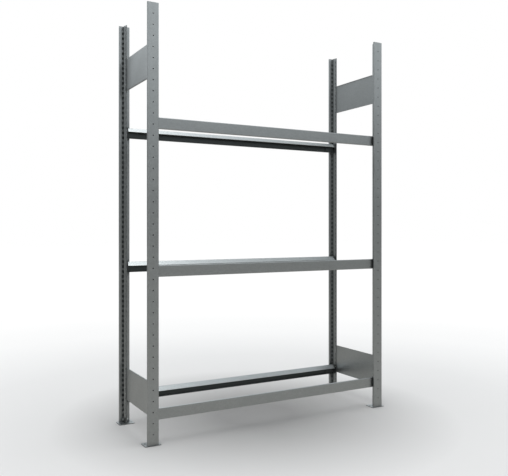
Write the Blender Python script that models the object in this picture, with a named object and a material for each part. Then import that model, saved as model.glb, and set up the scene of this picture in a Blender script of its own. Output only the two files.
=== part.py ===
"""Tyre storage rack: four T-section uprights, four side panels and six hook-in tyre beams.

World frame, metres: X runs along the rack's width, -Y is the front, +Z is up. The origin is on
the floor, at the centre of the footprint. Every beam lifts straight up off its slots, so each beam
and its two end brackets hang from one empty.
"""

import math

import bmesh
import bpy
from mathutils import Matrix, Vector

# Overall sizes
RACK_HEIGHT = 2.000
POST_SPACING = 1.300
RACK_DEPTH = 0.424

# Free gap between neighbouring pieces, overshoot of a punch, and the weld distance of meshes
GAP = 0.0003
PUNCH_MARGIN = 0.001
MERGE_DISTANCE = 0.00001
SHARP_ANGLE = math.radians(35.0)

# Upright: one strip of sheet folded to a T, open at the tip of its web
POST_SHEET = 0.0015
FLANGE_WIDTH = 0.054
FLANGE_BOX_DEPTH = 0.011
WEB_WIDTH = 0.0115
WEB_TAPER_START = 0.026
WEB_TAPER_END = 0.031
WEB_DEPTH = 0.044
TIP_CLEARANCE = 0.0023
BEND_RADIUS = 0.0020
BEND_STEPS = 2

# Perforation of the uprights
FRONT_HOLE_PITCH = 0.050
FRONT_HOLE_RADIUS = 0.003
FRONT_HOLE_SIDES = 6
SLOT_PITCH = 0.025
FIRST_SLOT = 0.0375
SLOT_COUNT = 79
SLOT_WIDTH = 0.006
SLOT_HEIGHT = 0.014
SLOT_FROM_MIDDLE = 0.0073

# Tyre beams: height of the upper hook's slot on each level
LEVEL_SLOTS = {"low": 0.1625, "middle": 0.8125, "top": 1.4875}
BEAM_TOP_BELOW_SLOT = 0.0010
BEAM_SHEET = 0.002
BEAM_HEIGHT = 0.0525
BEAM_LENGTH = 1.2782
BEAM_RECESS = 0.0175
BEAM_TOP_FLAT = 0.006
BEAM_SLOPE_DROP = 0.019
BEAM_BOTTOM_LIP = 0.012

# End brackets
BRACKET_SHEET = 0.003
BRACKET_OVERLAP = 0.055
BRACKET_INSET = 0.004
BRACKET_BACK = 0.038
HOOK_NECK_HEIGHT = 0.0044
HOOK_LIP_DROP = 0.0045
HOOK_LIP_THICKNESS = 0.0039
HOOKS_PER_BRACKET = 2

# Side panels: centre heights, on the slot pitch
PANEL_CENTRES = {"upper": 1.750, "lower": 0.200}
PANEL_SHEET = 0.0015
PANEL_HEIGHT = 0.160
PANEL_TUCK = 0.0115
PANEL_FOLD = 0.005
PANEL_FOLD_SETBACK = 0.004

# Panel rivets, through the tip of the web
RIVET_HOLE_RADIUS = 0.0025
RIVET_SHANK_RADIUS = 0.0021
RIVET_HEAD_RADIUS = 0.0046
RIVET_HEAD_HEIGHT = 0.0016
RIVET_SHOULDER = 0.7
RIVET_TAIL_RADIUS = 0.0037
RIVET_TAIL_HEIGHT = 0.0018
RIVET_TAIL_TAPER = 0.8
RIVET_FROM_CENTRE = 0.050
RIVET_SIDES = 8

# Feet
FOOT_SHEET = 0.003
FOOT_WIDTH = 0.078
FOOT_LENGTH = 0.060
FOOT_FORWARD = 0.004
CHEEK_SHEET = 0.0025
CHEEK_START = 0.0125
CHEEK_END = 0.031
CHEEK_TOP = 0.028
ANCHOR_RADIUS = 0.0045
ANCHOR_SPREAD = 0.027
ANCHOR_DEPTH = 0.036
FOOT_BOLT_RADIUS = 0.003
FOOT_BOLT_HEIGHT = 0.0165
FOOT_BOLT_DEPTH = 0.0200
FOOT_BOLT_CLEARANCE = 0.0004
HEX_ACROSS_FLATS = 0.010
BOLT_HEAD_HEIGHT = 0.004
BOLT_SHANK_ROOT = 0.001
BOLT_TIP_BEYOND_NUT = 0.002
NUT_HEIGHT = 0.005
ROUND_SIDES = 12

SIDES = {"left": -1, "right": 1}
ENDS = {"front": -1, "rear": 1}


def clear_scene():
    for obj in list(bpy.data.objects):
        bpy.data.objects.remove(obj, do_unlink=True)


def make_material(name, colour, roughness, metallic):
    material = bpy.data.materials.new(name)
    material.use_nodes = True
    shader = material.node_tree.nodes["Principled BSDF"]
    shader.inputs["Base Color"].default_value = (*colour, 1.0)
    shader.inputs["Roughness"].default_value = roughness
    shader.inputs["Metallic"].default_value = metallic
    return material


def mesh_from(name, bm):
    """Turn a bmesh into a mesh with its faces pointing out, smooth over bends and round parts."""
    bmesh.ops.recalc_face_normals(bm, faces=bm.faces)
    mesh = bpy.data.meshes.new(name)
    bm.to_mesh(mesh)
    bm.free()
    mesh.shade_smooth()
    mesh.set_sharp_from_angle(angle=SHARP_ANGLE)
    return mesh


def add_object(name, mesh, material=None, parent=None):
    obj = bpy.data.objects.new(name, mesh)
    bpy.context.scene.collection.objects.link(obj)
    if material is not None:
        obj.data.materials.clear()
        obj.data.materials.append(material)
    obj.parent = parent
    return obj


def add_empty(name, location, turn=0.0):
    empty = bpy.data.objects.new(name, None)
    bpy.context.scene.collection.objects.link(empty)
    empty.location = location
    empty.rotation_euler = (0.0, 0.0, turn)
    return empty


def add_boolean(obj, mesh, operation):
    """Join or cut obj with a mesh given in obj's own coordinates."""
    tool = add_object(f"{obj.name}_{operation.lower()}_tool", mesh, parent=obj)
    tool.hide_render = True
    tool.display_type = "WIRE"
    modifier = obj.modifiers.new(operation.title(), "BOOLEAN")
    modifier.operation = operation
    modifier.object = tool


# ---------------------------------------------------------------- shape helpers

def add_box(bm, low, high):
    low = Vector(low)
    high = Vector(high)
    size = high - low
    matrix = Matrix.Translation((low + high) / 2) @ Matrix.Diagonal((*size, 1.0))
    bmesh.ops.create_cube(bm, size=1.0, matrix=matrix)


def add_cylinder(bm, radius, low, high, sides=ROUND_SIDES):
    """Cylinder between two points on a line parallel to a world axis."""
    low = Vector(low)
    high = Vector(high)
    axis = high - low
    turn = axis.to_track_quat("Z", "Y").to_matrix().to_4x4()
    matrix = Matrix.Translation((low + high) / 2) @ turn
    bmesh.ops.create_cone(
        bm, cap_ends=True, segments=sides, radius1=radius, radius2=radius,
        depth=axis.length, matrix=matrix,
    )


def extrude_outline(outline, direction):
    """Prism made by pushing a closed outline of 3-D points along a direction."""
    bm = bmesh.new()
    face = bm.faces.new([bm.verts.new(point) for point in outline])
    result = bmesh.ops.extrude_face_region(bm, geom=[face], use_keep_orig=True)
    moved = [item for item in result["geom"] if isinstance(item, bmesh.types.BMVert)]
    bmesh.ops.translate(bm, verts=moved, vec=direction)
    return bm


def round_corners(path, radius, steps):
    """Replace each inner corner of an open 2-D path by an arc."""
    rounded = [path[0]]
    for before, corner, after in zip(path, path[1:], path[2:]):
        into = (corner - before).normalized()
        out = (after - corner).normalized()
        turn = into.angle_signed(out)
        tangent = radius * math.tan(abs(turn) / 2)
        start = corner - into * tangent
        side = -1.0 if turn > 0 else 1.0
        centre = start + Vector((-into.y, into.x)) * radius * side
        for step in range(steps + 1):
            angle = -turn * step / steps
            spoke = start - centre
            spoke.rotate(Matrix.Rotation(angle, 2))
            rounded.append(centre + spoke)
    rounded.append(path[-1])
    return rounded


def sheet_outline(path, thickness):
    """Closed outline of folded sheet whose middle line follows a 2-D path."""
    line = round_corners([Vector(point) for point in path], BEND_RADIUS, BEND_STEPS)
    left = []
    right = []
    for index, point in enumerate(line):
        into = (point - line[max(index - 1, 0)]).normalized()
        out = (line[min(index + 1, len(line) - 1)] - point).normalized()
        along = (into + out).normalized()
        normal = Vector((-along.y, along.x))
        mitre = thickness / 2
        if 0 < index < len(line) - 1:
            mitre /= along.dot(into)
        left.append(point + normal * mitre)
        right.append(point - normal * mitre)
    return left + right[::-1]


# ---------------------------------------------------------------- uprights

def upright_path():
    """Middle line of the T section: web tip, web, flange box and back again."""
    half = POST_SHEET / 2
    tip = TIP_CLEARANCE / 2 + half
    web = WEB_WIDTH / 2 - half
    edge = FLANGE_WIDTH / 2 - half
    back = FLANGE_BOX_DEPTH - half
    right = [
        (tip, WEB_DEPTH),
        (tip, WEB_TAPER_END),
        (web, WEB_TAPER_START),
        (web, back),
        (edge, back),
        (edge, half),
    ]
    left = [(-x, y) for x, y in reversed(right)]
    return right + left


def upright_mesh():
    outline = [(point.x, point.y, 0.0) for point in sheet_outline(upright_path(), POST_SHEET)]
    bottom = FOOT_SHEET + GAP
    bm = extrude_outline(outline, (0.0, 0.0, RACK_HEIGHT - bottom))
    bmesh.ops.translate(bm, verts=bm.verts, vec=(0.0, 0.0, bottom))
    return mesh_from("upright", bm)


def panel_rivet_heights():
    return [
        centre + offset
        for centre in PANEL_CENTRES.values()
        for offset in (-RIVET_FROM_CENTRE, RIVET_FROM_CENTRE)
    ]


def rivet_depth():
    return (WEB_TAPER_END + WEB_DEPTH) / 2


def perforation_mesh():
    """Everything punched out of one upright."""
    bm = bmesh.new()
    for step in range(1, round(RACK_HEIGHT / FRONT_HOLE_PITCH)):
        z = step * FRONT_HOLE_PITCH
        low = (0.0, -PUNCH_MARGIN, z)
        high = (0.0, POST_SHEET + PUNCH_MARGIN, z)
        add_cylinder(bm, FRONT_HOLE_RADIUS, low, high, FRONT_HOLE_SIDES)

    back = FLANGE_BOX_DEPTH
    for side in SIDES.values():
        edges = (side * SLOT_FROM_MIDDLE, side * (SLOT_FROM_MIDDLE + SLOT_WIDTH))
        for step in range(SLOT_COUNT):
            z = FIRST_SLOT + step * SLOT_PITCH
            low = (min(edges), back - 2 * POST_SHEET, z - SLOT_HEIGHT / 2)
            high = (max(edges), back + POST_SHEET, z + SLOT_HEIGHT / 2)
            add_box(bm, low, high)

    reach = WEB_WIDTH
    for z in panel_rivet_heights():
        depth = rivet_depth()
        add_cylinder(bm, RIVET_HOLE_RADIUS, (-reach, depth, z), (reach, depth, z), RIVET_SIDES)
    low = (-reach, FOOT_BOLT_DEPTH, FOOT_BOLT_HEIGHT)
    high = (reach, FOOT_BOLT_DEPTH, FOOT_BOLT_HEIGHT)
    add_cylinder(bm, FOOT_BOLT_RADIUS + FOOT_BOLT_CLEARANCE, low, high)
    return mesh_from("perforation", bm)


def corner_place(side, end):
    """Location and turn of the upright at one corner of the rack."""
    location = (side * POST_SPACING / 2, end * RACK_DEPTH / 2, 0.0)
    turn = 0.0 if end < 0 else math.pi
    return location, turn


def build_uprights(steel):
    section = upright_mesh()
    punches = perforation_mesh()
    for side_name, side in SIDES.items():
        for end_name, end in ENDS.items():
            post = add_object(f"upright_{end_name}_{side_name}", section, steel)
            location, turn = corner_place(side, end)
            post.location = location
            post.rotation_euler = (0.0, 0.0, turn)
            add_boolean(post, punches, "DIFFERENCE")


# ---------------------------------------------------------------- tyre beams

def beam_mesh():
    """Beam in its own frame: outer face at Y 0, top at Z 0, +Y towards the bay."""
    half = BEAM_SHEET / 2
    path = [
        (BEAM_BOTTOM_LIP, half - BEAM_HEIGHT),
        (half, half - BEAM_HEIGHT),
        (half, -half),
        (BEAM_TOP_FLAT, -half),
        (BEAM_TOP_FLAT + BEAM_SLOPE_DROP, -half - BEAM_SLOPE_DROP),
    ]
    start = -BEAM_LENGTH / 2
    outline = [(start, point.x, point.y) for point in sheet_outline(path, BEAM_SHEET)]
    return mesh_from("tyre_beam", extrude_outline(outline, (BEAM_LENGTH, 0.0, 0.0)))


def hook_plate_x():
    """Distance from the rack's middle to the web side of a bracket's hook plate."""
    return POST_SPACING / 2 - SLOT_FROM_MIDDLE - GAP


def hook_plate_outline():
    """Outline, in Y and Z, of the plate beside the web, with its hooks behind the flange."""
    face = FLANGE_BOX_DEPTH + GAP - BEAM_RECESS
    behind_sheet = FLANGE_BOX_DEPTH - POST_SHEET - GAP - BEAM_RECESS
    hook_end = behind_sheet - HOOK_LIP_THICKNESS
    back = BRACKET_BACK - BEAM_RECESS
    outline = [(back, 0.0), (back, -BEAM_HEIGHT), (face, -BEAM_HEIGHT)]
    for hook in reversed(range(HOOKS_PER_BRACKET)):
        slot_bottom = BEAM_TOP_BELOW_SLOT - hook * SLOT_PITCH - SLOT_HEIGHT / 2
        neck_bottom = slot_bottom + GAP
        neck_top = neck_bottom + HOOK_NECK_HEIGHT
        lip_bottom = slot_bottom - HOOK_LIP_DROP
        outline += [
            (face, neck_bottom),
            (behind_sheet, neck_bottom),
            (behind_sheet, lip_bottom),
            (hook_end, lip_bottom),
            (hook_end, neck_top),
            (face, neck_top),
        ]
    outline.append((face, 0.0))
    return outline


def beam_leg_mesh(end):
    """Leg that runs from the hook plate into the beam, behind its upright face."""
    plate = end * (hook_plate_x() - BRACKET_SHEET / 2)
    inner_end = end * (BEAM_LENGTH / 2 - BRACKET_OVERLAP)
    low_x, high_x = sorted((plate, inner_end))
    low_y = BEAM_SHEET + GAP
    bm = bmesh.new()
    add_box(
        bm,
        (low_x, low_y, BRACKET_INSET - BEAM_HEIGHT),
        (high_x, low_y + BRACKET_SHEET, -BRACKET_INSET),
    )
    return mesh_from("beam_leg", bm)


def bracket_meshes(end):
    """Hook plate and beam leg of the bracket at one end of a beam, in the beam's frame."""
    low_x = min(end * hook_plate_x(), end * (hook_plate_x() - BRACKET_SHEET))
    plate = [(low_x, y, z) for y, z in hook_plate_outline()]
    plate_mesh = mesh_from("hook_plate", extrude_outline(plate, (BRACKET_SHEET, 0.0, 0.0)))
    return plate_mesh, beam_leg_mesh(end)


def build_beams(steel):
    beam = beam_mesh()
    brackets = {end: bracket_meshes(end) for end in (-1, 1)}
    for level, slot in LEVEL_SLOTS.items():
        for end_name, end in ENDS.items():
            y = end * (RACK_DEPTH / 2 - BEAM_RECESS)
            turn = 0.0 if end < 0 else math.pi
            top = slot - BEAM_TOP_BELOW_SLOT
            lift = add_empty(f"lift_{level}_{end_name}", (0.0, y, top), turn)
            add_object(f"tyre_beam_{level}_{end_name}", beam, steel, lift)
            for side_name, side in SIDES.items():
                plate, leg = brackets[-side * end]
                name = f"hook_bracket_{level}_{end_name}_{side_name}"
                bracket = add_object(name, plate, steel, lift)
                add_boolean(bracket, leg, "UNION")


# ---------------------------------------------------------------- side panels

def panel_sheet_mesh():
    """Flat sheet of a panel in its own frame: on X 0, centre at the origin."""
    half = PANEL_SHEET / 2
    half_height = PANEL_HEIGHT / 2
    reach = RACK_DEPTH / 2 - WEB_DEPTH + PANEL_TUCK
    bm = bmesh.new()
    add_box(bm, (-half, -reach, -half_height), (half, reach, half_height))
    return mesh_from("panel_sheet", bm)


def panel_fold_mesh(side, edge):
    """Folded edge of a panel, towards the bay; edge is 1 for the top and -1 for the bottom."""
    half = PANEL_SHEET / 2
    half_height = PANEL_HEIGHT / 2
    reach = RACK_DEPTH / 2 - WEB_DEPTH - PANEL_FOLD_SETBACK
    low_x, high_x = sorted((side * half, -side * (PANEL_FOLD - half)))
    low_z, high_z = sorted((edge * half_height, edge * (half_height - PANEL_SHEET)))
    bm = bmesh.new()
    add_box(bm, (low_x, -reach, low_z), (high_x, reach, high_z))
    return mesh_from("panel_fold", bm)


def panel_hole_mesh():
    bm = bmesh.new()
    y = RACK_DEPTH / 2 - rivet_depth()
    for end in ENDS.values():
        for offset in (-RIVET_FROM_CENTRE, RIVET_FROM_CENTRE):
            low = (-PANEL_FOLD, end * y, offset)
            high = (PANEL_FOLD, end * y, offset)
            add_cylinder(bm, RIVET_HOLE_RADIUS, low, high, RIVET_SIDES)
    return mesh_from("panel_holes", bm)


def build_panels(steel):
    holes = panel_hole_mesh()
    for side_name, side in SIDES.items():
        sheet = panel_sheet_mesh()
        folds = [panel_fold_mesh(side, edge) for edge in (-1, 1)]
        for row, centre in PANEL_CENTRES.items():
            panel = add_object(f"side_panel_{row}_{side_name}", sheet, steel)
            panel.location = (side * POST_SPACING / 2, 0.0, centre)
            for fold in folds:
                add_boolean(panel, fold, "UNION")
            add_boolean(panel, holes, "DIFFERENCE")


def rivet_mesh():
    """Blind rivet along +X, its domed head at +X, centred on the web's middle plane."""
    face = TIP_CLEARANCE / 2 + POST_SHEET + GAP
    profile = [
        (face + RIVET_HEAD_HEIGHT, 0.0),
        (face + RIVET_HEAD_HEIGHT * RIVET_SHOULDER, RIVET_HEAD_RADIUS * RIVET_SHOULDER),
        (face, RIVET_HEAD_RADIUS),
        (face, RIVET_SHANK_RADIUS),
        (-face, RIVET_SHANK_RADIUS),
        (-face, RIVET_TAIL_RADIUS),
        (-face - RIVET_TAIL_HEIGHT, RIVET_TAIL_RADIUS * RIVET_TAIL_TAPER),
        (-face - RIVET_TAIL_HEIGHT, 0.0),
    ]
    bm = bmesh.new()
    verts = [bm.verts.new((x, 0.0, radius)) for x, radius in profile]
    edges = [bm.edges.new(pair) for pair in zip(verts, verts[1:])]
    bmesh.ops.spin(
        bm, geom=verts + edges, cent=(0.0, 0.0, 0.0), axis=(1.0, 0.0, 0.0),
        angle=math.tau, steps=RIVET_SIDES, use_merge=True,
    )
    bmesh.ops.remove_doubles(bm, verts=bm.verts, dist=MERGE_DISTANCE)
    return mesh_from("panel_rivet", bm)


def build_rivets(zinc):
    mesh = rivet_mesh()
    y = RACK_DEPTH / 2 - rivet_depth()
    for side_name, side in SIDES.items():
        turn = 0.0 if side > 0 else math.pi
        for row, centre in PANEL_CENTRES.items():
            for end_name, end in ENDS.items():
                for place, offset in (("low", -RIVET_FROM_CENTRE), ("high", RIVET_FROM_CENTRE)):
                    name = f"panel_rivet_{row}_{side_name}_{end_name}_{place}"
                    rivet = add_object(name, mesh, zinc)
                    rivet.location = (side * POST_SPACING / 2, end * y, centre + offset)
                    rivet.rotation_euler = (0.0, 0.0, turn)


# ---------------------------------------------------------------- feet

def foot_meshes():
    """Floor plate, its two cheeks and its holes, in the upright's own frame."""
    front = -FOOT_FORWARD
    back = FOOT_LENGTH - FOOT_FORWARD
    plate = bmesh.new()
    add_box(plate, (-FOOT_WIDTH / 2, front, 0.0), (FOOT_WIDTH / 2, back, FOOT_SHEET))

    inner = WEB_WIDTH / 2 + GAP
    outer = inner + CHEEK_SHEET
    cheeks = bmesh.new()
    for side in SIDES.values():
        low_x, high_x = sorted((side * inner, side * outer))
        add_box(cheeks, (low_x, CHEEK_START, FOOT_SHEET / 2), (high_x, CHEEK_END, CHEEK_TOP))

    holes = bmesh.new()
    for side in SIDES.values():
        x = side * ANCHOR_SPREAD
        y = ANCHOR_DEPTH
        low = (x, y, -PUNCH_MARGIN)
        high = (x, y, FOOT_SHEET + PUNCH_MARGIN)
        add_cylinder(holes, ANCHOR_RADIUS, low, high)
    reach = outer + PUNCH_MARGIN
    low = (-reach, FOOT_BOLT_DEPTH, FOOT_BOLT_HEIGHT)
    high = (reach, FOOT_BOLT_DEPTH, FOOT_BOLT_HEIGHT)
    add_cylinder(holes, FOOT_BOLT_RADIUS + FOOT_BOLT_CLEARANCE, low, high)
    return mesh_from("foot_plate", plate), mesh_from("cheeks", cheeks), mesh_from("foot_holes", holes)


def cheek_face_x():
    return WEB_WIDTH / 2 + GAP + CHEEK_SHEET


def foot_bolt_meshes():
    """Hexagon bolt along +X with its head at -X, and the shank joined to it."""
    hex_radius = HEX_ACROSS_FLATS / math.sqrt(3)
    seat = -cheek_face_x() - GAP
    end = cheek_face_x() + GAP + NUT_HEIGHT + BOLT_TIP_BEYOND_NUT
    head = bmesh.new()
    add_cylinder(head, hex_radius, (seat - BOLT_HEAD_HEIGHT, 0.0, 0.0), (seat, 0.0, 0.0), 6)
    shank = bmesh.new()
    add_cylinder(shank, FOOT_BOLT_RADIUS, (seat - BOLT_SHANK_ROOT, 0.0, 0.0), (end, 0.0, 0.0))
    return mesh_from("bolt_head", head), mesh_from("bolt_shank", shank)


def foot_nut_meshes():
    hex_radius = HEX_ACROSS_FLATS / math.sqrt(3)
    seat = cheek_face_x() + GAP
    body = bmesh.new()
    add_cylinder(body, hex_radius, (seat, 0.0, 0.0), (seat + NUT_HEIGHT, 0.0, 0.0), 6)
    bore = bmesh.new()
    low = (seat - PUNCH_MARGIN, 0.0, 0.0)
    high = (seat + NUT_HEIGHT + PUNCH_MARGIN, 0.0, 0.0)
    add_cylinder(bore, FOOT_BOLT_RADIUS + GAP, low, high)
    return mesh_from("nut_body", body), mesh_from("nut_bore", bore)


def build_feet(steel, zinc):
    plate, cheeks, holes = foot_meshes()
    head, shank = foot_bolt_meshes()
    nut_body, nut_bore = foot_nut_meshes()
    for side_name, side in SIDES.items():
        for end_name, end in ENDS.items():
            place = f"{end_name}_{side_name}"
            location, turn = corner_place(side, end)
            foot = add_object(f"foot_plate_{place}", plate, steel)
            foot.location = location
            foot.rotation_euler = (0.0, 0.0, turn)
            add_boolean(foot, cheeks, "UNION")
            add_boolean(foot, holes, "DIFFERENCE")

            across = (side * POST_SPACING / 2, end * (RACK_DEPTH / 2 - FOOT_BOLT_DEPTH))
            bolt_turn = 0.0 if side < 0 else math.pi
            bolt = add_object(f"foot_bolt_{place}", head, zinc)
            bolt.location = (*across, FOOT_BOLT_HEIGHT)
            bolt.rotation_euler = (0.0, 0.0, bolt_turn)
            add_boolean(bolt, shank, "UNION")
            nut = add_object(f"foot_nut_{place}", nut_body, zinc)
            nut.location = (*across, FOOT_BOLT_HEIGHT)
            nut.rotation_euler = (0.0, 0.0, bolt_turn)
            add_boolean(nut, nut_bore, "DIFFERENCE")


def main():
    clear_scene()
    steel = make_material("galvanised_steel", (0.28, 0.30, 0.30), 0.48, 0.6)
    zinc = make_material("zinc_fasteners", (0.55, 0.56, 0.56), 0.35, 0.9)
    build_uprights(steel)
    build_beams(steel)
    build_panels(steel)
    build_rivets(zinc)
    build_feet(steel, zinc)


main()
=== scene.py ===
"""Tyre storage rack: the finished sheet metal, fasteners, finishes and studio around the CAD frame."""

import math

import bmesh
import bpy
from mathutils import Matrix, Vector


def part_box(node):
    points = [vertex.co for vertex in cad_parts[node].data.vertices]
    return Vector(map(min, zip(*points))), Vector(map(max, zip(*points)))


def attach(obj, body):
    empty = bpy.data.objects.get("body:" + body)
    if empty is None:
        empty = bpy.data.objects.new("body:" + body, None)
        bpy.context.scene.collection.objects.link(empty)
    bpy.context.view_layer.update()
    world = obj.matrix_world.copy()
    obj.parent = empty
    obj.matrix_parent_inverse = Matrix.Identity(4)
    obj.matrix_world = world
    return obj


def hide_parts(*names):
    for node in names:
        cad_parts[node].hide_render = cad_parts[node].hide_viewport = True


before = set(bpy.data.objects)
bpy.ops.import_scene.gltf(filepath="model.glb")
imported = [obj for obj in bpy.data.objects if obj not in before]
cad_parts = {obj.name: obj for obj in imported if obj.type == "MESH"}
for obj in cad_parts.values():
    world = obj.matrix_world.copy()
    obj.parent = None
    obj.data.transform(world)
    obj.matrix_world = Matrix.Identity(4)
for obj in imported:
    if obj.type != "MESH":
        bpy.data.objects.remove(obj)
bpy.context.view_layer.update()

# Names in the frame: sides with their sign along X, ends with their sign along Y, levels, rows
SIDES = {"left": -1, "right": 1}
ENDS = {"front": -1, "rear": 1}
LEVELS = ("low", "middle", "top")
ROWS = ("upper", "lower")

# Clearance between neighbours, how far cutters and joined shapes reach past a surface, and the
# distance within which points are the same
GAP = 0.0003
CUT_MARGIN = 0.001
CROSS_CUT = 0.02
OVERLAP = 0.0005
MERGE_DISTANCE = 0.000002

# Straight pieces in a quarter turn of a bend or corner, in a rounded edge, and in a full turn
SLOT_STEPS = 3
ARC_STEPS = 5
FINE_ARC_STEPS = 6
EDGE_STEPS = 2
ROUND_SIDES = 32

# Turn, in degrees, from which an edge counts as sharp and is rounded
SHARP_EDGE = 40.0

# Upright section
POST_SHEET = 0.0015
FLANGE_WIDTH = 0.054
FLANGE_BOX_DEPTH = 0.011
WEB_WIDTH = 0.0115
WEB_TAPER_START = 0.026
WEB_TAPER_END = 0.031
WEB_DEPTH = 0.044
TIP_CLEARANCE = 0.0023
POST_BEND = 0.0020

# Perforation
FRONT_HOLE_PITCH = 0.050
FRONT_HOLE_RADIUS = 0.003
FRONT_HOLE_SIDES = 24
SLOT_PITCH = 0.025
FIRST_SLOT = 0.0375
FIRST_TIP_SLOT = 0.050
SLOT_INNER = 0.0020
SLOT_OUTER = 0.0133
SLOT_WEB_END = 0.0185
SLOT_HEIGHT = 0.014
SLOT_CORNER = 0.0018
TIP_SLOT_DEPTH = 0.0375
TIP_SLOT_WIDTH = 0.0046
TIP_SLOT_HEIGHT = 0.0088
TIP_SLOT_CORNER = 0.0022

# Tyre beams
BEAM_SHEET = 0.002
BEAM_HEIGHT = 0.0525
BEAM_TOP_BELOW_SLOT = 0.001
BEAM_TOP_FLAT = 0.006
BEAM_SLOPE_DROP = 0.019
BEAM_BOTTOM_LIP = 0.012
BEAM_BEND = 0.0022

# End brackets
BRACKET_SHEET = 0.003
BRACKET_INSET = 0.004
BRACKET_BEND = 0.0025
BRACKET_EDGE = 0.0004
LEG_CORNER = 0.006
HOOK_NECK_HEIGHT = 0.0044
HOOK_LIP_DROP = 0.0045

# Weld beads; each wander is a share of the radius, a phase and an angle over the whole length
WELD_LENGTH = 0.038
WELD_RADIUS = 0.0016
WELD_RIPPLE = 0.00028
WELD_PITCH = 0.0018
WELD_RINGS_PER_RIPPLE = 6
WELD_SIDES = 10
WELD_WANDERS = ((0.06, 1.7, 17.0), (0.04, 3.91, 41.0))
WELD_END_SHARE = 0.25
WELD_TAPER_POWER = 0.25
WELD_BOW = 0.0004
WELD_INSET = 0.0004
WELD_PROUD = 0.0006

# Side panels
PANEL_SHEET = 0.0015
PANEL_FOLD = 0.005
PANEL_FOLD_SETBACK = 0.004
PANEL_BEND = 0.0022
PANEL_TONGUE_INSET = 0.003

# Blind rivets: radii of their rings, and heights above and behind the web's leaves
RIVET_HOLE = 0.0024
RIVET_HOLE_SIDES = 20
RIVET_SIDES = 24
RIVET_HEAD = 0.0045
RIVET_HEAD_EDGE = 0.0004
RIVET_DOME = 0.0012
RIVET_SHANK = 0.0021
RIVET_POCKET = 0.0012
RIVET_POCKET_FLOOR = 0.0010
RIVET_POCKET_DEPTH = 0.0009
RIVET_BULB = 0.0036
RIVET_BULB_FOOT = 0.0034
RIVET_BULB_LENGTH = 0.0018
RIVET_TAIL_FLOOR = 0.0012

# Foot bolts and nuts
FOOT_BOLT_DEPTH = 0.020
BOLT_HOLE = 0.0034
BOLT_CUTTER_SIDES = 16
BOLT_HEAD_HEIGHT = 0.004
HEX_ACROSS_FLATS = 0.010
HEX_CHAMFER = 0.0006
HEX_CHAMFER_SLOPE = 0.58
HEX_BLANK_MARGIN = 0.0002
HEX_BLANK_SIDES = 48
WASHER_FACE = 0.0047
WASHER_FACE_HEIGHT = 0.0004
ROD_RADIUS = 0.0030
ROD_SIDES = 24
THREAD_PITCH = 0.001
THREAD_DEPTH = 0.0004
THREAD_STEPS = 12
NUT_BORE = 0.0033
NUT_LEAD_IN = 0.0006
NUT_FLARES = (0.0041, 0.0045)

# Feet
FOOT_CORNER = 0.004
FOOT_EDGE = 0.0005
CHEEK_START = 0.0125
CHEEK_END = 0.031
CHEEK_SHEET = 0.0025
CHEEK_CORNER = 0.003
CHEEK_FILLET = 0.0022
FILLET_INSET = 0.001
ANCHOR_RADIUS = 0.0045
ANCHOR_SPREAD = 0.027
ANCHOR_DEPTH = 0.036

# Camera, in metres, degrees and millimetres
CAMERA_PLACE = (-1.676, -2.971, 0.982)
CAMERA_TURN = -29.265
CAMERA_LENS = 45.77
CAMERA_SHIFT_UP = -0.0197
CAMERA_TILT = 90.0
CAMERA_SENSOR = 36.0
CAMERA_NEAR = 0.01

# Sheet steel: zinc, the marks on it, painted shade on its sheltered faces, and dust and painted shade
# in its recesses
ZINC_DARK = (0.372, 0.388, 0.390, 1.0)
ZINC_LIGHT = (0.440, 0.458, 0.460, 1.0)
STREAK_GREY = (0.290, 0.310, 0.315, 1.0)
CLOUD_GREY = (0.330, 0.348, 0.340, 1.0)
WORN_EDGE = (0.56, 0.58, 0.58, 1.0)
# Painted shade for sheltered faces and for faces turned to the bay
PAINTED_SHADE_GREY = (0.045, 0.051, 0.051, 1.0)
# Dust and painted shade for holes, slots and tight corners
DUST_AND_SHADE_GREY = (0.024, 0.026, 0.025, 1.0)

# Sheet steel: sizes of its grain as noise scales per metre, and reaches of wear, painted shade, and
# dust and painted shade
STREAKS_ALONG = 1.2
STREAKS_ACROSS = 60.0
STREAK_SCALE = 9.0
CLOUD_SCALE = 7.0
SPANGLE_SCALE = 150.0
FINE_SPANGLE_SCALE = 420.0
SPECKLE_SCALE = 900.0
WEAR_WIDTH = 0.0012
PAINTED_SHADE_REACH = 0.045
DUST_AND_SHADE_REACH = 0.014

# Zinc plated fasteners and painted welds
PLATING_DARK = (0.46, 0.47, 0.46, 1.0)
PLATING_LIGHT = (0.62, 0.63, 0.61, 1.0)
PLATING_EDGE = (0.74, 0.74, 0.72, 1.0)
# Darker tone for the recesses of the fasteners
PLATING_RECESS_DARK = (0.16, 0.155, 0.145, 1.0)
WELD_DARK = (0.20, 0.205, 0.205, 1.0)
WELD_LIGHT = (0.34, 0.345, 0.34, 1.0)
PLATING_MOTTLE_SCALE = 260.0
PLATING_GRAIN_SCALE = 1600.0
PLATING_WEAR_WIDTH = 0.0006
PLATING_RECESS_REACH = 0.003
WELD_TINT_SCALE = 180.0
WELD_GRIT_SCALE = 1400.0

# Studio: ceiling brightness by the height of the direction, and the softbox
CEILING_RAMP = ((0.0, 0.05), (0.12, 0.11), (0.33, 0.82), (0.45, 0.62), (0.78, 0.36), (0.96, 1.0))
CEILING_STRENGTH = 1.7
CEILING_TINT = (-0.05, 0.0, 0.03)
TINT_HEIGHT = 0.3
LEFT_DIMMING = 0.64
LEFT_DIMMING_RANGE = (-0.9, -0.1)
SOFTBOX_PLACE = (-0.3, -0.3, 4.2)
SOFTBOX_TARGET = (0.0, 0.0, 0.8)
SOFTBOX_SIZE = (1.8, 1.8)
SOFTBOX_POWER = 30.0
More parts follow.
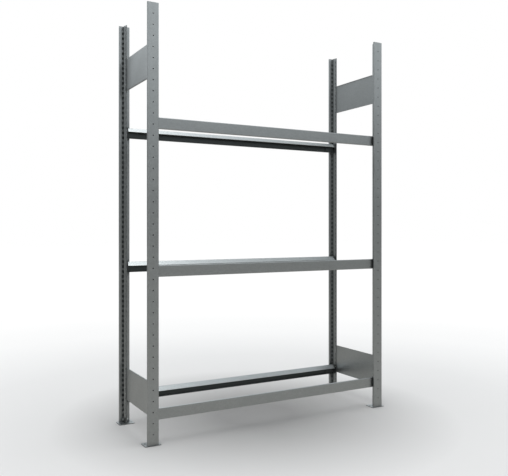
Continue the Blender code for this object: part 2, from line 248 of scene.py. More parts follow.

# Floor: a painted shadow under the rack, greys lightening at growing distances from it, a darker
# painted shade for reflections and bounce light, and its fade into the backdrop
FLOOR_SIZE = 30.0
FLOOR_CELLS = 8
FLOOR_DROP = 0.0005
UNDER_RADIUS = 0.2
NEAR_RADIUS = 1.05
FAR_RADIUS = 2.8
FADE_RANGE = (1.6, 4.2)
BACKDROP_STRENGTH = 1.02
# Painted shadow under the rack, painted shade near it, and the unshaded floor further out
FLOOR_SHADOW_UNDER = (0.31, 0.30, 0.293, 1.0)
FLOOR_SHADE_NEAR = (0.76, 0.735, 0.72, 1.0)
FLOOR_FAR = (0.92, 0.89, 0.87, 1.0)
FLOOR_MOTTLE = (0.7, 0.7, 0.7, 1.0)
# Painted shade: the darker floor that the metal reflects and that bounces light onto it
FLOOR_SHADE_IN_REFLECTIONS = (0.445, 0.42, 0.39, 1.0)


# ---------------------------------------------------------------- mesh helpers

def mesh_from(name, bm):
    bmesh.ops.recalc_face_normals(bm, faces=bm.faces)
    mesh = bpy.data.meshes.new(name)
    bm.to_mesh(mesh)
    bm.free()
    return mesh


def add_object(name, mesh):
    obj = bpy.data.objects.new(name, mesh)
    bpy.context.scene.collection.objects.link(obj)
    return obj


def add_box(bm, low, high):
    low = Vector(low)
    high = Vector(high)
    matrix = Matrix.Translation((low + high) / 2) @ Matrix.Diagonal((*(high - low), 1.0))
    bmesh.ops.create_cube(bm, size=1.0, matrix=matrix)


def extrude_outline(outline, direction, bm=None):
    """Prism made by pushing a closed outline of 3-D points along a direction."""
    bm = bm or bmesh.new()
    face = bm.faces.new([bm.verts.new(point) for point in outline])
    result = bmesh.ops.extrude_face_region(bm, geom=[face], use_keep_orig=True)
    moved = [item for item in result["geom"] if isinstance(item, bmesh.types.BMVert)]
    bmesh.ops.translate(bm, verts=moved, vec=direction)
    return bm


def quarter_arc(steps, quarter=0):
    """Cosine and sine of the angles that divide a quarter turn evenly, both ends included."""
    angles = [math.pi / 2 * (quarter + step / steps) for step in range(steps + 1)]
    return [(math.cos(angle), math.sin(angle)) for angle in angles]


def rounded_rectangle(width, height, radius, steps=4):
    """Closed outline of a rectangle with round corners, centred on the origin."""
    points = []
    for quarter in range(4):
        sign_x = 1 if quarter in (0, 3) else -1
        sign_y = 1 if quarter in (0, 1) else -1
        centre = Vector((sign_x * (width / 2 - radius), sign_y * (height / 2 - radius)))
        for cosine, sine in quarter_arc(steps, quarter):
            points.append(centre + radius * Vector((cosine, sine)))
    return points


def circle_outline(radius, sides):
    angles = [math.tau * side / sides for side in range(sides)]
    return [Vector((radius * math.cos(angle), radius * math.sin(angle))) for angle in angles]


def round_corners(path, radius, steps):
    """Replace each inner corner of an open 2-D path by an arc."""
    rounded = [path[0]]
    for before, corner, after in zip(path, path[1:], path[2:]):
        into = (corner - before).normalized()
        out = (after - corner).normalized()
        turn = into.angle_signed(out)
        start = corner - into * radius * math.tan(abs(turn) / 2)
        side = -1.0 if turn > 0 else 1.0
        centre = start + Vector((-into.y, into.x)) * radius * side
        for step in range(steps + 1):
            spoke = start - centre
            spoke.rotate(Matrix.Rotation(-turn * step / steps, 2))
            rounded.append(centre + spoke)
    rounded.append(path[-1])
    return rounded


def sheet_outline(path, thickness, radius, steps):
    """Closed outline of folded sheet whose middle line follows a 2-D path."""
    line = round_corners([Vector(point) for point in path], radius, steps)
    left = []
    right = []
    for index, point in enumerate(line):
        into = (point - line[max(index - 1, 0)]).normalized()
        out = (line[min(index + 1, len(line) - 1)] - point).normalized()
        along = (into + out).normalized()
        normal = Vector((-along.y, along.x))
        mitre = 1.0
        if into.length > 0 and out.length > 0:
            mitre = 1.0 / along.dot(into)
        left.append(point + normal * thickness / 2 * mitre)
        right.append(point - normal * thickness / 2 * mitre)
    return left + right[::-1]


def lathe(profile, sides=ROUND_SIDES):
    """Turned body about the X axis from (x, radius) points that start and end on the axis."""
    bm = bmesh.new()
    verts = [bm.verts.new((x, 0.0, radius)) for x, radius in profile]
    edges = [bm.edges.new(pair) for pair in zip(verts, verts[1:])]
    bmesh.ops.spin(
        bm, geom=verts + edges, cent=(0.0, 0.0, 0.0), axis=(1.0, 0.0, 0.0),
        angle=math.tau, steps=sides, use_merge=True,
    )
    bmesh.ops.remove_doubles(bm, verts=bm.verts, dist=MERGE_DISTANCE)
    return bm


def cross_cutter(radius, sides, y, z):
    """Round cutter along X that passes through a web or a panel."""
    bm = lathe([(-CROSS_CUT, 0.0), (-CROSS_CUT, radius), (CROSS_CUT, radius), (CROSS_CUT, 0.0)], sides)
    bmesh.ops.translate(bm, verts=bm.verts, vec=(0.0, y, z))
    return bm


def skin_rings(name, rings):
    """Closed body through a row of rings of points, with a flat cap on each end."""
    bm = bmesh.new()
    loops = [[bm.verts.new(point) for point in ring] for ring in rings]
    sides = len(loops[0])
    for first, second in zip(loops, loops[1:]):
        for side in range(sides):
            after = (side + 1) % sides
            bm.faces.new((first[side], first[after], second[after], second[side]))
    bm.faces.new(loops[0][::-1])
    bm.faces.new(loops[-1])
    return mesh_from(name, bm)


def applied(mesh, kind, **settings):
    """A new mesh with one modifier applied."""
    body = add_object("modifier_body", mesh)
    modifier = body.modifiers.new(kind, kind)
    for key, value in settings.items():
        setattr(modifier, key, value)
    bpy.context.view_layer.update()
    graph = bpy.context.evaluated_depsgraph_get()
    result = bpy.data.meshes.new_from_object(body.evaluated_get(graph))
    result.name = mesh.name
    bpy.data.objects.remove(body)
    return result


def boolean(mesh, tool_mesh, operation):
    """A new mesh: the first one joined to, or cut by, the second."""
    tool = add_object("boolean_tool", tool_mesh)
    result = applied(mesh, "BOOLEAN", operation=operation, object=tool)
    bpy.data.objects.remove(tool)
    return result


def bevelled(mesh, width):
    """The mesh with its sharp edges rounded."""
    sharp = math.radians(SHARP_EDGE)
    return merged(applied(mesh, "BEVEL", width=width, segments=EDGE_STEPS, angle_limit=sharp))


def smoothed(mesh, degrees=35.0):
    """The mesh with its bends shaded smooth and its flat faces kept flat."""
    mesh.shade_smooth()
    mesh.set_sharp_from_angle(angle=math.radians(degrees))
    return applied(mesh, "WEIGHTED_NORMAL", keep_sharp=True)


def merged(mesh):
    """The mesh with its coincident points joined."""
    bm = bmesh.new()
    bm.from_mesh(mesh)
    bmesh.ops.remove_doubles(bm, verts=bm.verts, dist=MERGE_DISTANCE)
    bm.to_mesh(mesh)
    bm.free()
    return mesh


def place_piece(name, mesh, material, place, turn, body, node):
    """One visible piece that moves with its body and stands for a node of the frame, if it has one."""
    piece = add_object(name, mesh)
    # Copies share one mesh, so the first one gives it its finish
    if not mesh.materials:
        mesh.materials.append(material)
    piece.location = place
    piece.rotation_euler = (0.0, 0.0, turn)
    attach(piece, body)
    if node:
        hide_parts(node)


# ---------------------------------------------------------------- positions from the frame

def corner_place(side_name, end_name):
    """Middle of the upright's outer flange face on the floor, and the upright's turn."""
    low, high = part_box(f"upright_{end_name}_{side_name}")
    y = low.y if end_name == "front" else high.y
    turn = 0.0 if end_name == "front" else math.pi
    return Vector(((low.x + high.x) / 2, y, 0.0)), turn


def foot_bolt_height():
    low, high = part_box("foot_bolt_front_left")
    return (low.z + high.z) / 2


def beam_place(level, end_name):
    """Top edge of the beam's outer face at mid-span, and the beam's turn."""
    low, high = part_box(f"tyre_beam_{level}_{end_name}")
    y = low.y if end_name == "front" else high.y
    turn = 0.0 if end_name == "front" else math.pi
    return Vector((0.0, y, high.z)), turn


# ---------------------------------------------------------------- material nodes

class Nodes:
    """Short names for building one material's node tree."""

    def __init__(self, name):
        self.material = bpy.data.materials.new(name)
        self.material.use_nodes = True
        self.tree = self.material.node_tree
        self.shader = self.tree.nodes["Principled BSDF"]

    def add(self, kind, **settings):
        node = self.tree.nodes.new(kind)
        for key, value in settings.items():
            setattr(node, key, value)
        return node

    def link(self, source, target):
        self.tree.links.new(source, target)

    def feed(self, target, value):
        if isinstance(value, (int, float, tuple)):
            target.default_value = value
        else:
            self.link(value, target)

    def math(self, operation, first, second=0.0, clamp=False):
        node = self.add("ShaderNodeMath", operation=operation, use_clamp=clamp)
        self.feed(node.inputs[0], first)
        self.feed(node.inputs[1], second)
        return node.outputs[0]

    def remap(self, value, low, high, to_low, to_high):
        node = self.add("ShaderNodeMapRange")
        self.feed(node.inputs["Value"], value)
        self.feed(node.inputs["From Min"], low)
        self.feed(node.inputs["From Max"], high)
        self.feed(node.inputs["To Min"], to_low)
        self.feed(node.inputs["To Max"], to_high)
        return node.outputs["Result"]

    def mix(self, factor, first, second):
        node = self.add("ShaderNodeMix", data_type="RGBA")
        self.feed(node.inputs[0], factor)
        self.feed(node.inputs[6], first)
        self.feed(node.inputs[7], second)
        return node.outputs[2]

    def coordinates(self, scale):
        """Object coordinates, stretched by a scale per axis."""
        source = self.add("ShaderNodeTexCoord").outputs["Object"]
        mapping = self.add("ShaderNodeMapping")
        mapping.inputs["Scale"].default_value = scale
        self.link(source, mapping.inputs["Vector"])
        return mapping.outputs["Vector"]

    def noise(self, vector, scale, detail=3.0, roughness=0.55):
        node = self.add("ShaderNodeTexNoise")
        self.link(vector, node.inputs["Vector"])
        node.inputs["Scale"].default_value = scale
        node.inputs["Detail"].default_value = detail
        node.inputs["Roughness"].default_value = roughness
        return node.outputs["Fac"]

    def voronoi_cell(self, vector, scale):
        """One random grey per cell."""
        node = self.add("ShaderNodeTexVoronoi", feature="F1")
        self.link(vector, node.inputs["Vector"])
        node.inputs["Scale"].default_value = scale
        node.inputs["Randomness"].default_value = 1.0
        split = self.add("ShaderNodeSeparateColor")
        self.link(node.outputs["Color"], split.inputs["Color"])
        return split.outputs["Red"]

    def edge_mask(self, radius):
        """1 along convex and concave edges, 0 on flat faces."""
        bevel = self.add("ShaderNodeBevel", samples=4)
        bevel.inputs["Radius"].default_value = radius
        normal = self.add("ShaderNodeNewGeometry").outputs["Normal"]
        dot = self.add("ShaderNodeVectorMath", operation="DOT_PRODUCT")
        self.link(bevel.outputs["Normal"], dot.inputs[0])
        self.link(normal, dot.inputs[1])
        return self.remap(dot.outputs["Value"], 0.97, 0.80, 0.0, 1.0)

    def component(self, vector, axis):
        split = self.add("ShaderNodeSeparateXYZ")
        self.link(vector, split.inputs[0])
        return split.outputs[axis]

    def recess_mask(self, distance, closed=0.25, open_air=0.85):
        """1 deep inside holes and corners, 0 in the open."""
        node = self.add("ShaderNodeAmbientOcclusion", samples=12)
        node.inputs["Distance"].default_value = distance
        return self.remap(node.outputs["AO"], closed, open_air, 1.0, 0.0)

    def bump(self, height, strength, distance):
        node = self.add("ShaderNodeBump")
        node.inputs["Strength"].default_value = strength
        node.inputs["Distance"].default_value = distance
        self.link(height, node.inputs["Height"])
        self.link(node.outputs["Normal"], self.shader.inputs["Normal"])


def galvanised_steel(name, grain_axis, shade_strength=0.75, inner_shade=0.0, outer_shade=1.0, floor_shade=1.0):
    """Skin-passed zinc-coated sheet: faint spangle, rolling streaks, cloudy dulling, pale edges.

    Sheltered faces get a dark painted shade. Where the piece asks for it, faces turned to the bay,
    local +Y, get an even painted shade, and outer faces, local -Y, and the zone near the floor get
    less.
    Holes, slots and tight corners get dust and painted shade.
    """
    n = Nodes(name)
    stretch = [STREAKS_ALONG if axis == grain_axis else STREAKS_ACROSS for axis in "XYZ"]
    plain = n.coordinates((1.0, 1.0, 1.0))
    streaks = n.noise(n.coordinates(stretch), STREAK_SCALE, detail=5.0, roughness=0.6)
    clouds = n.noise(plain, CLOUD_SCALE, detail=4.0)
    spangle = n.voronoi_cell(plain, SPANGLE_SCALE)
    fine_spangle = n.voronoi_cell(plain, FINE_SPANGLE_SCALE)
    speckle = n.noise(plain, SPECKLE_SCALE, detail=2.0)
    edges = n.edge_mask(WEAR_WIDTH)

    facing = n.component(n.add("ShaderNodeTexCoord").outputs["Normal"], "Y")
    outer = n.remap(facing, -0.9, -0.6, outer_shade, 1.0)
    inner = n.remap(facing, 0.8, 0.95, 0.0, inner_shade)
    low = n.remap(n.component(plain, "Z"), 0.005, 0.08, floor_shade, 1.0)
    # Painted shade: darker in sheltered corners and under overhangs, and evenly on faces turned to the
    # bay
    corners = n.recess_mask(PAINTED_SHADE_REACH, closed=0.45, open_air=0.79)
    sheltered_shade = n.math("MULTIPLY", corners, n.math("MULTIPLY", outer, low))
    painted_shade = n.math("MAXIMUM", sheltered_shade, inner)
    # Dust and painted shade deep in holes, slots and tight corners, less near the floor and on faces
    # turned to the bay
    deep = n.math("MULTIPLY", n.recess_mask(DUST_AND_SHADE_REACH, closed=0.08, open_air=0.42), low)
    recess = n.math("MULTIPLY", deep, n.math("SUBTRACT", 1.0, inner))

    pattern = n.math("ADD", n.math("MULTIPLY", spangle, 0.55), n.math("MULTIPLY", fine_spangle, 0.45))
    zinc = n.mix(pattern, ZINC_DARK, ZINC_LIGHT)
    streaked = n.mix(n.remap(streaks, 0.35, 0.65, 0.0, 0.14), zinc, STREAK_GREY)
    dulled = n.mix(n.remap(clouds, 0.40, 0.75, 0.0, 0.20), streaked, CLOUD_GREY)
    worn = n.mix(n.math("MULTIPLY", edges, 0.40), dulled, WORN_EDGE)
    # Lay the painted shade, then the dust and painted shade, into the colour
    with_painted_shade = n.mix(n.math("MULTIPLY", painted_shade, shade_strength), worn, PAINTED_SHADE_GREY)
    with_dust_and_shade = n.mix(n.math("MULTIPLY", recess, 0.86), with_painted_shade, DUST_AND_SHADE_GREY)
    n.link(with_dust_and_shade, n.shader.inputs["Base Color"])

    # Less metallic where the dust and painted shade lie
    n.feed(n.shader.inputs["Metallic"], n.math("SUBTRACT", 0.94, n.math("MULTIPLY", recess, 0.45)))
    base = n.remap(streaks, 0.30, 0.70, 0.30, 0.37)
    varied = n.math("ADD", base, n.remap(pattern, 0.0, 1.0, -0.03, 0.03))
    clouded = n.math("ADD", varied, n.remap(clouds, 0.40, 0.75, 0.0, 0.06))
    dull = n.math("ADD", clouded, n.math("MULTIPLY", painted_shade, 0.10), clamp=True)
    n.link(dull, n.shader.inputs["Roughness"])

    relief = n.math("ADD", n.math("MULTIPLY", speckle, 0.6), n.math("MULTIPLY", streaks, 0.8))
    n.bump(relief, strength=0.07, distance=0.0004)
    return n.material


def zinc_plating(name):
    """Bright zinc on small turned and pressed parts."""
    n = Nodes(name)
    plain = n.coordinates((1.0, 1.0, 1.0))
    mottle = n.noise(plain, PLATING_MOTTLE_SCALE, detail=4.0)
    fine = n.noise(plain, PLATING_GRAIN_SCALE, detail=2.0)
    edges = n.edge_mask(PLATING_WEAR_WIDTH)
    # Darker in its recesses
    recess = n.recess_mask(PLATING_RECESS_REACH)
    base = n.mix(n.remap(mottle, 0.35, 0.65, 0.0, 1.0), PLATING_DARK, PLATING_LIGHT)
    worn = n.mix(n.math("MULTIPLY", edges, 0.4), base, PLATING_EDGE)
    darkened = n.mix(n.math("MULTIPLY", recess, 0.7), worn, PLATING_RECESS_DARK)
    n.link(darkened, n.shader.inputs["Base Color"])
    n.shader.inputs["Metallic"].default_value = 1.0
    n.link(n.remap(mottle, 0.3, 0.7, 0.24, 0.42), n.shader.inputs["Roughness"])
    n.bump(fine, strength=0.08, distance=0.0002)
    return n.material


def weld_metal(name):
    """Darker, rough weld bead with heat tint, under a coat of zinc paint."""
    n = Nodes(name)
    plain = n.coordinates((1.0, 1.0, 1.0))
    tint = n.noise(plain, WELD_TINT_SCALE, detail=3.0)
    grit = n.noise(plain, WELD_GRIT_SCALE, detail=3.0)
    colour = n.mix(n.remap(tint, 0.35, 0.65, 0.0, 1.0), WELD_DARK, WELD_LIGHT)
    n.link(colour, n.shader.inputs["Base Color"])
    n.shader.inputs["Metallic"].default_value = 0.85
    n.link(n.remap(grit, 0.3, 0.7, 0.42, 0.62), n.shader.inputs["Roughness"])
    n.bump(grit, strength=0.2, distance=0.0003)
    return n.material


# ---------------------------------------------------------------- uprights

def upright_path():
    """Middle line of the T section: web tip, web, flange box and back again."""
    half = POST_SHEET / 2
    tip = TIP_CLEARANCE / 2 + half
    web = WEB_WIDTH / 2 - half
    edge = FLANGE_WIDTH / 2 - half
    back = FLANGE_BOX_DEPTH - half
    right = [
        (tip, WEB_DEPTH), (tip, WEB_TAPER_END), (web, WEB_TAPER_START),
        (web, back), (edge, back), (edge, half),
    ]
    return right + [(-x, y) for x, y in reversed(right)]


def add_front_holes(bm, height):
    """Round holes down the middle of the flange."""
    outline = circle_outline(FRONT_HOLE_RADIUS, FRONT_HOLE_SIDES)
    for step in range(1, round(height / FRONT_HOLE_PITCH)):
        z = step * FRONT_HOLE_PITCH
        points = [(point.x, -CUT_MARGIN, point.y + z) for point in outline]
        extrude_outline(points, (0.0, POST_SHEET + 2 * CUT_MARGIN, 0.0), bm)


def add_corner_slots(bm, height):
    """Hook slots punched across the fold where the web meets the back of the flange."""
    start = FLANGE_BOX_DEPTH - 2 * POST_SHEET
    reach = SLOT_WEB_END - start
    outline = rounded_rectangle(reach + 2 * SLOT_CORNER, SLOT_HEIGHT, SLOT_CORNER, SLOT_STEPS)
    middle = start + reach / 2 - SLOT_CORNER
    near = WEB_WIDTH / 2 - SLOT_INNER - POST_SHEET
    span = SLOT_OUTER - near
    for side in SIDES.values():
        z = FIRST_SLOT
        while z < height:
            points = [(side * near, point.x + middle, point.y + z) for point in outline]
            extrude_outline(points, (side * span, 0.0, 0.0), bm)
            z += SLOT_PITCH


def add_tip_slots(bm, height):
    """Small slots through both leaves at the tip of the web."""
    outline = rounded_rectangle(TIP_SLOT_WIDTH, TIP_SLOT_HEIGHT, TIP_SLOT_CORNER)
    z = FIRST_TIP_SLOT
    while z < height - SLOT_PITCH / 2:
        points = [(-WEB_WIDTH, point.x + TIP_SLOT_DEPTH, point.y + z) for point in outline]
        extrude_outline(points, (2 * WEB_WIDTH, 0.0, 0.0), bm)
        z += SLOT_PITCH


def upright_mesh():
    low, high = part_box("upright_front_left")
    section = sheet_outline(upright_path(), POST_SHEET, POST_BEND, ARC_STEPS)
    outline = [(point.x, point.y, low.z) for point in section]
    strip = mesh_from("upright", extrude_outline(outline, (0.0, 0.0, high.z - low.z)))
    punches = bmesh.new()
    add_front_holes(punches, high.z)
    add_corner_slots(punches, high.z)
    add_tip_slots(punches, high.z)
    bolt = cross_cutter(BOLT_HOLE, BOLT_CUTTER_SIDES, FOOT_BOLT_DEPTH, foot_bolt_height())
    mesh = boolean(strip, mesh_from("punches", punches), "DIFFERENCE")
    mesh = boolean(mesh, mesh_from("bolt_hole", bolt), "DIFFERENCE")
    return smoothed(mesh)


def build_uprights():
    mesh = upright_mesh()
    steel = galvanised_steel("galvanised_upright", "Z", floor_shade=0.3)
    for side_name in SIDES:
        for end_name in ENDS:
            place, turn = corner_place(side_name, end_name)
            node = f"upright_{end_name}_{side_name}"
            place_piece(f"{node}_sheet", mesh, steel, place, turn, "frame", node)


# ---------------------------------------------------------------- tyre beams

def beam_length():
    low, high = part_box("tyre_beam_top_front")
    return high.x - low.x


def beam_mesh():
    half = BEAM_SHEET / 2
    path = [
        (BEAM_BOTTOM_LIP, half - BEAM_HEIGHT),
        (half, half - BEAM_HEIGHT),
        (half, -half),
        (BEAM_TOP_FLAT, -half),
        (BEAM_TOP_FLAT + BEAM_SLOPE_DROP, -half - BEAM_SLOPE_DROP),
    ]
    length = beam_length()
    section = sheet_outline(path, BEAM_SHEET, BEAM_BEND, FINE_ARC_STEPS)
    outline = [(-length / 2, point.x, point.y) for point in section]
    mesh = mesh_from("tyre_beam", extrude_outline(outline, (length, 0.0, 0.0)))
    return smoothed(mesh)


def hook_plate_outline(front, hook_front, back):
    """Plate beside the web, in Y and Z, with two hooks that pass through the flange."""
    behind_sheet = front - GAP * 2 - POST_SHEET
    outline = [(back, 0.0), (back, -BEAM_HEIGHT), (front, -BEAM_HEIGHT)]
    for hook in (1, 0):
        slot_bottom = BEAM_TOP_BELOW_SLOT - hook * SLOT_PITCH - SLOT_HEIGHT / 2
        neck_bottom = slot_bottom + GAP
        neck_top = neck_bottom + HOOK_NECK_HEIGHT
        lip_bottom = slot_bottom - HOOK_LIP_DROP
        outline += [
            (front, neck_bottom), (behind_sheet, neck_bottom), (behind_sheet, lip_bottom),
            (hook_front, lip_bottom), (hook_front, neck_top), (front, neck_top),
        ]
    outline.append((front, 0.0))
    return outline


def hook_plate_mesh(end):
    low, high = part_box("hook_bracket_top_front_right")
    place, _ = beam_place("top", "front")
    flange = place.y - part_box("upright_front_right")[0].y
    front = FLANGE_BOX_DEPTH + GAP - flange
    outline = hook_plate_outline(front, low.y - place.y, high.y - place.y)
    start = min(end * high.x, end * (high.x - BRACKET_SHEET))
    points = [(start, y, z) for y, z in outline]
    return mesh_from("hook_plate", extrude_outline(points, (BRACKET_SHEET, 0.0, 0.0)))


def beam_leg_mesh(end):
    """Leg behind the beam's upright face, with round free corners."""
    low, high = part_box("hook_bracket_top_front_right")
    height = BEAM_HEIGHT - 2 * BRACKET_INSET
    length = high.x - BRACKET_SHEET / 2 - low.x
    middle = low.x + length / 2
    rounded = rounded_rectangle(length, height, LEG_CORNER, ARC_STEPS)
    free_end = [point for point in rounded if point.x < 0]
    plate_end = [Vector((length / 2, -height / 2)), Vector((length / 2, height / 2))]
    outline = [
        (end * (middle + point.x), BEAM_SHEET + GAP, point.y - BEAM_HEIGHT / 2)
        for point in free_end + plate_end
    ]
    return mesh_from("beam_leg", extrude_outline(outline, (0.0, BRACKET_SHEET, 0.0)))


def bend_fillet_mesh(end):
    """Inner radius where the leg is folded from the hook plate."""
    corner_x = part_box("hook_bracket_top_front_right")[1].x - BRACKET_SHEET
    corner_y = BEAM_SHEET + GAP + BRACKET_SHEET
    low = BRACKET_INSET - BEAM_HEIGHT
    outline = [(end * (corner_x + OVERLAP), corner_y - OVERLAP, low)]
    for cosine, sine in quarter_arc(FINE_ARC_STEPS):
        x = corner_x - BRACKET_BEND * (1.0 - sine)
        y = corner_y + BRACKET_BEND * (1.0 - cosine)
        outline.append((end * x, y, low))
    height = BEAM_HEIGHT - 2 * BRACKET_INSET
    return mesh_from("bend", extrude_outline(outline, (0.0, 0.0, height)))


def bracket_mesh(end):
    """Pressed bracket at one end of a beam, in the beam's own frame: hook plate, fold and leg."""
    plate = bevelled(hook_plate_mesh(end), BRACKET_EDGE)
    leg = bevelled(beam_leg_mesh(end), BRACKET_EDGE)
    mesh = boolean(plate, leg, "UNION")
    mesh = merged(boolean(mesh, bend_fillet_mesh(end), "UNION"))
    mesh.name = "hook_bracket"
    return smoothed(mesh)


def weld_radius(along):
    """Radius of the bead at a share of its length: it ripples, wanders and thins to both ends."""
    taper = math.sin(math.pi * along) ** WELD_TAPER_POWER if 0 < along < 1 else 0.0
    wander = sum(share * math.sin(phase + angle * along) for share, phase, angle in WELD_WANDERS)
    ripple = WELD_RIPPLE * abs(math.sin(math.pi * along * WELD_LENGTH / WELD_PITCH))
    fullness = WELD_END_SHARE + (1.0 - WELD_END_SHARE) * taper
    return (WELD_RADIUS * (1.0 + wander) - ripple) * fullness


def weld_mesh():
    """A rippled fillet bead along Z with tapering ends."""
    count = int(WELD_LENGTH / WELD_PITCH) * WELD_RINGS_PER_RIPPLE
    rings = []
    for step in range(count + 1):
        radius = weld_radius(step / count)
        z = (step / count - 0.5) * WELD_LENGTH
        ring = []
        for side in range(WELD_SIDES):
            angle = math.tau * side / WELD_SIDES
            x = radius * math.cos(angle)
            y = radius * math.sin(angle)
            ring.append((x, y, z - WELD_BOW * math.sin(angle)))
        rings.append(ring)
    return smoothed(skin_rings("weld_bead", rings), degrees=60.0)


def build_beams():
    beam = beam_mesh()
    brackets = {end: bracket_mesh(end) for end in (-1, 1)}
    bead = weld_mesh()
    beam_steel = galvanised_steel("galvanised_beam", "X", shade_strength=1.0, inner_shade=0.95, outer_shade=0.0)
    bracket_steel = galvanised_steel("galvanised_bracket", "Z", shade_strength=1.0, inner_shade=0.95)
    weld = weld_metal("weld_metal")
    weld_x = beam_length() / 2 - WELD_INSET
    for level in LEVELS:
        for end_name, end in ENDS.items():
            place, turn = beam_place(level, end_name)
            body = f"beam_{level}_{end_name}"
            node = f"tyre_beam_{level}_{end_name}"
            place_piece(f"{node}_sheet", beam, beam_steel, place, turn, body, node)
            for side_name, side in SIDES.items():
                node = f"hook_bracket_{level}_{end_name}_{side_name}"
                name = f"{node}_pressing"
                mesh = brackets[-side * end]
                place_piece(name, mesh, bracket_steel, place, turn, body, node)
                spot = place + Vector((side * weld_x, end * WELD_PROUD, -BEAM_HEIGHT / 2))
                name = f"weld_{level}_{end_name}_{side_name}"
                place_piece(name, bead, weld, spot, turn, body, None)


# ---------------------------------------------------------------- side panels

def panel_mesh(side_name):
    """Pressed side panel, centred on the origin, with its folds towards the bay."""
    low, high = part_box(f"side_panel_upper_{side_name}")
    side = SIDES[side_name]
    half_height = (high.z - low.z) / 2
    reach = (high.y - low.y) / 2
    web_tip = -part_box("upright_front_left")[1].y
    fold_reach = web_tip - PANEL_FOLD_SETBACK
    half = PANEL_SHEET / 2
    inner = PANEL_FOLD - half
    path = [
        (inner, half - half_height), (0.0, half - half_height),
        (0.0, half_height - half), (inner, half_height - half),
    ]
    section = sheet_outline(path, PANEL_SHEET, PANEL_BEND, ARC_STEPS)
    outline = [(-side * point.x, -fold_reach, point.y) for point in section]
    tray = mesh_from("side_panel", extrude_outline(outline, (0.0, 2 * fold_reach, 0.0)))
    tongue = bmesh.new()
    tongue_height = half_height - PANEL_TONGUE_INSET
    add_box(tongue, (-half, -reach, -tongue_height), (half, reach, tongue_height))
    mesh = boolean(tray, mesh_from("tongue", tongue), "UNION")
    holes = bmesh.new()
    for y in (-rivet_y(), rivet_y()):
        for z in (-rivet_offset(), rivet_offset()):
            hole = cross_cutter(RIVET_HOLE, RIVET_HOLE_SIDES, y, z)
            holes.from_mesh(mesh_from("hole", hole))
    mesh = boolean(mesh, mesh_from("holes", holes), "DIFFERENCE")
    return smoothed(mesh)


def rivet_y():
    low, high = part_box("panel_rivet_upper_left_rear_high")
    return (low.y + high.y) / 2


def rivet_offset():
    high_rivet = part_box("panel_rivet_upper_left_rear_high")
    low_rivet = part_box("panel_rivet_upper_left_rear_low")
    return (high_rivet[0].z - low_rivet[0].z) / 2


def rivet_mesh():
    """Blind rivet: low dome with the mandrel's pocket, and the set bulb behind."""
    face = TIP_CLEARANCE / 2 + POST_SHEET + GAP
    edge = face + RIVET_HEAD_EDGE
    pocket = edge + RIVET_DOME - RIVET_POCKET_DEPTH
    tail = -face - RIVET_TAIL_FLOOR
    profile = [(pocket, 0.0), (pocket, RIVET_POCKET_FLOOR)]
    for cosine, sine in quarter_arc(FINE_ARC_STEPS):
        radius = RIVET_POCKET + (RIVET_HEAD - RIVET_POCKET) * sine
        profile.append((edge + RIVET_DOME * cosine, radius))
    profile += [(face, RIVET_HEAD), (face, RIVET_SHANK), (-face, RIVET_SHANK), (-face, RIVET_BULB_FOOT)]
    for cosine, sine in quarter_arc(ARC_STEPS)[1:]:
        radius = RIVET_POCKET + (RIVET_BULB - RIVET_POCKET) * cosine
        profile.append((-face - RIVET_BULB_LENGTH * sine, radius))
    profile += [(tail, RIVET_POCKET_FLOOR), (tail, 0.0)]
    return smoothed(mesh_from("blind_rivet", lathe(profile, RIVET_SIDES)), degrees=50.0)


def build_panels(zinc):
    steel = galvanised_steel("galvanised_panel", "Y")
    rivet = rivet_mesh()
    for side_name in SIDES:
        mesh = panel_mesh(side_name)
        for row in ROWS:
            node = f"side_panel_{row}_{side_name}"
            low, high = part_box(node)
            x = corner_place(side_name, "front")[0].x
            place = Vector((x, 0.0, (low.z + high.z) / 2))
            place_piece(f"{node}_pressing", mesh, steel, place, 0.0, "frame", node)
            for end_name in ENDS:
                for height in ("low", "high"):
                    node = f"panel_rivet_{row}_{side_name}_{end_name}_{height}"
                    low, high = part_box(node)
                    spot = (low + high) / 2
                    spot.x = x
                    turn = 0.0 if side_name == "right" else math.pi
                    name = f"{node}_domed"
                    place_piece(name, rivet, zinc, spot, turn, "frame", node)


# ---------------------------------------------------------------- feet

def cheek_outline(bottom, top):
    """Side view of a cheek, in Y and Z, with its two upper corners rounded."""
    points = [(CHEEK_START, bottom), (CHEEK_END, bottom)]
    for centre_y, quarter in ((CHEEK_END - CHEEK_CORNER, 0), (CHEEK_START + CHEEK_CORNER, 1)):
        for cosine, sine in quarter_arc(ARC_STEPS, quarter):
            y = centre_y + CHEEK_CORNER * cosine
            points.append((y, top - CHEEK_CORNER + CHEEK_CORNER * sine))
    return points


def cheek_mesh(side, plate_top, cheek_top):
    inner = WEB_WIDTH / 2 + GAP
    start = min(side * inner, side * (inner + CHEEK_SHEET))
    outline = [(start, y, z) for y, z in cheek_outline(plate_top / 2, cheek_top)]
    return mesh_from("cheek", extrude_outline(outline, (CHEEK_SHEET, 0.0, 0.0)))


def cheek_fillet_mesh(side, plate_top):
    """Round inner corner where a cheek is pressed up out of the plate."""
    outer = WEB_WIDTH / 2 + GAP + CHEEK_SHEET
    start = CHEEK_START + FILLET_INSET
    length = CHEEK_END - CHEEK_START - 2 * FILLET_INSET
    outline = []
    for cosine, sine in quarter_arc(ARC_STEPS):
        x = outer + CHEEK_FILLET * (1.0 - sine)
        z = plate_top + CHEEK_FILLET * (1.0 - cosine)
        outline.append((side * x, start, z))
    outline.append((side * (outer - OVERLAP), start, plate_top - OVERLAP))
    return mesh_from("fillet", extrude_outline(outline, (0.0, length, 0.0)))


